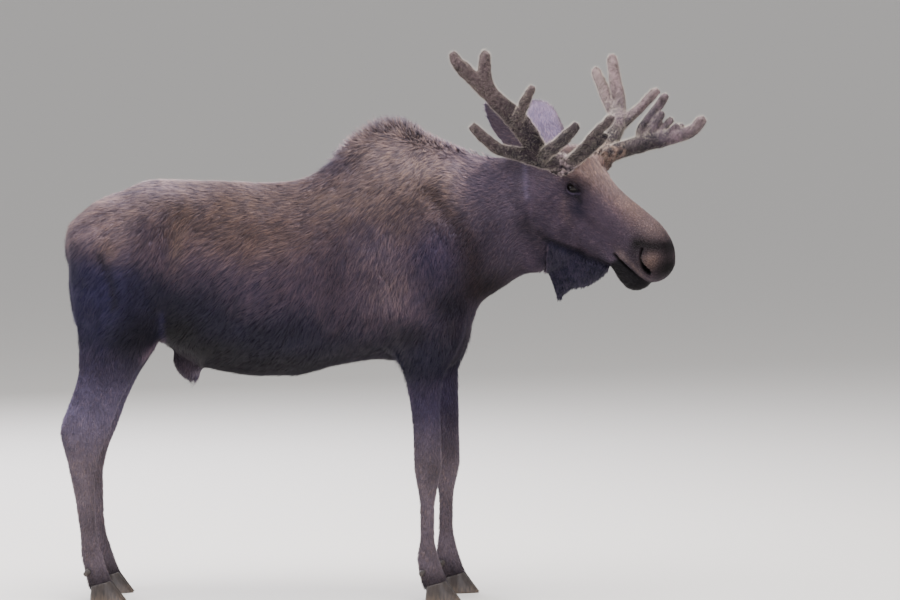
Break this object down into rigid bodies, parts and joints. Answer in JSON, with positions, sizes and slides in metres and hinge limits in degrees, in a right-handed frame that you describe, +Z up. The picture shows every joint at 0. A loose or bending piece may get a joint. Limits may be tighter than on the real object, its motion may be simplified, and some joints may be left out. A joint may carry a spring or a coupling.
{
  "type": "bull moose in velvet",
  "caption": "Life-size still model of a bull moose with antlers in velvet, standing, with its head turned to its right.",
  "frame": {"origin": "middle of the model's box at floor level", "axes": "+X ahead from rump to nose, +Y to the animal's left, +Z up"},
  "size_m": [2.6158, 1.0994, 2.2245],
  "materials": {
    "body_coat": "long brown-grey hair, matt with a soft sheen along the hair",
    "head_coat": "short flat brown hair",
    "leg_coat": "short flat grey hair",
    "bell_coat": "long near-black hair",
    "muzzle_skin": "dark fine-grained skin with very short hair",
    "antler_velvet": "short dense velvet hair over growing antler",
    "eye": "wet, near-black brown eye",
    "hoof_horn": "dark horn with a dull polish"
  },
  "bodies": {
    "root": {"trunk": "body_coat", "neck": "body_coat", "head": "head_coat", "lower_jaw": "muzzle_skin", "bell": "bell_coat", "tail": "body_coat", "sheath": "body_coat", "eye_right": "eye", "ear_right": "head_coat", "hind_leg_right": "leg_coat", "hind_cannon_right": "leg_coat", "foreleg_right": "leg_coat", "fore_cannon_right": "leg_coat", "eye_left": "eye", "ear_left": "head_coat", "hind_leg_left": "leg_coat", "hind_cannon_left": "leg_coat", "foreleg_left": "leg_coat", "fore_cannon_left": "leg_coat", "antler_right_burr": "antler_velvet", "antler_right_palm": "antler_velvet", "antler_right_rear_tine": "antler_velvet", "antler_right_front_tine": "antler_velvet", "antler_right_brow": "antler_velvet", "antler_left_burr": "antler_velvet", "antler_left_palm": "antler_velvet", "antler_left_brow": "antler_velvet", "claw_fore_right_outer": "hoof_horn", "dewclaw_fore_right_outer": "hoof_horn", "claw_fore_right_inner": "hoof_horn", "dewclaw_fore_right_inner": "hoof_horn", "claw_fore_left_outer": "hoof_horn", "dewclaw_fore_left_outer": "hoof_horn", "claw_fore_left_inner": "hoof_horn", "dewclaw_fore_left_inner": "hoof_horn", "claw_hind_right_outer": "hoof_horn", "dewclaw_hind_right_outer": "hoof_horn", "claw_hind_right_inner": "hoof_horn", "dewclaw_hind_right_inner": "hoof_horn", "claw_hind_left_outer": "hoof_horn", "dewclaw_hind_left_outer": "hoof_horn", "claw_hind_left_inner": "hoof_horn", "dewclaw_hind_left_inner": "hoof_horn"}
  },
  "joints": []
}
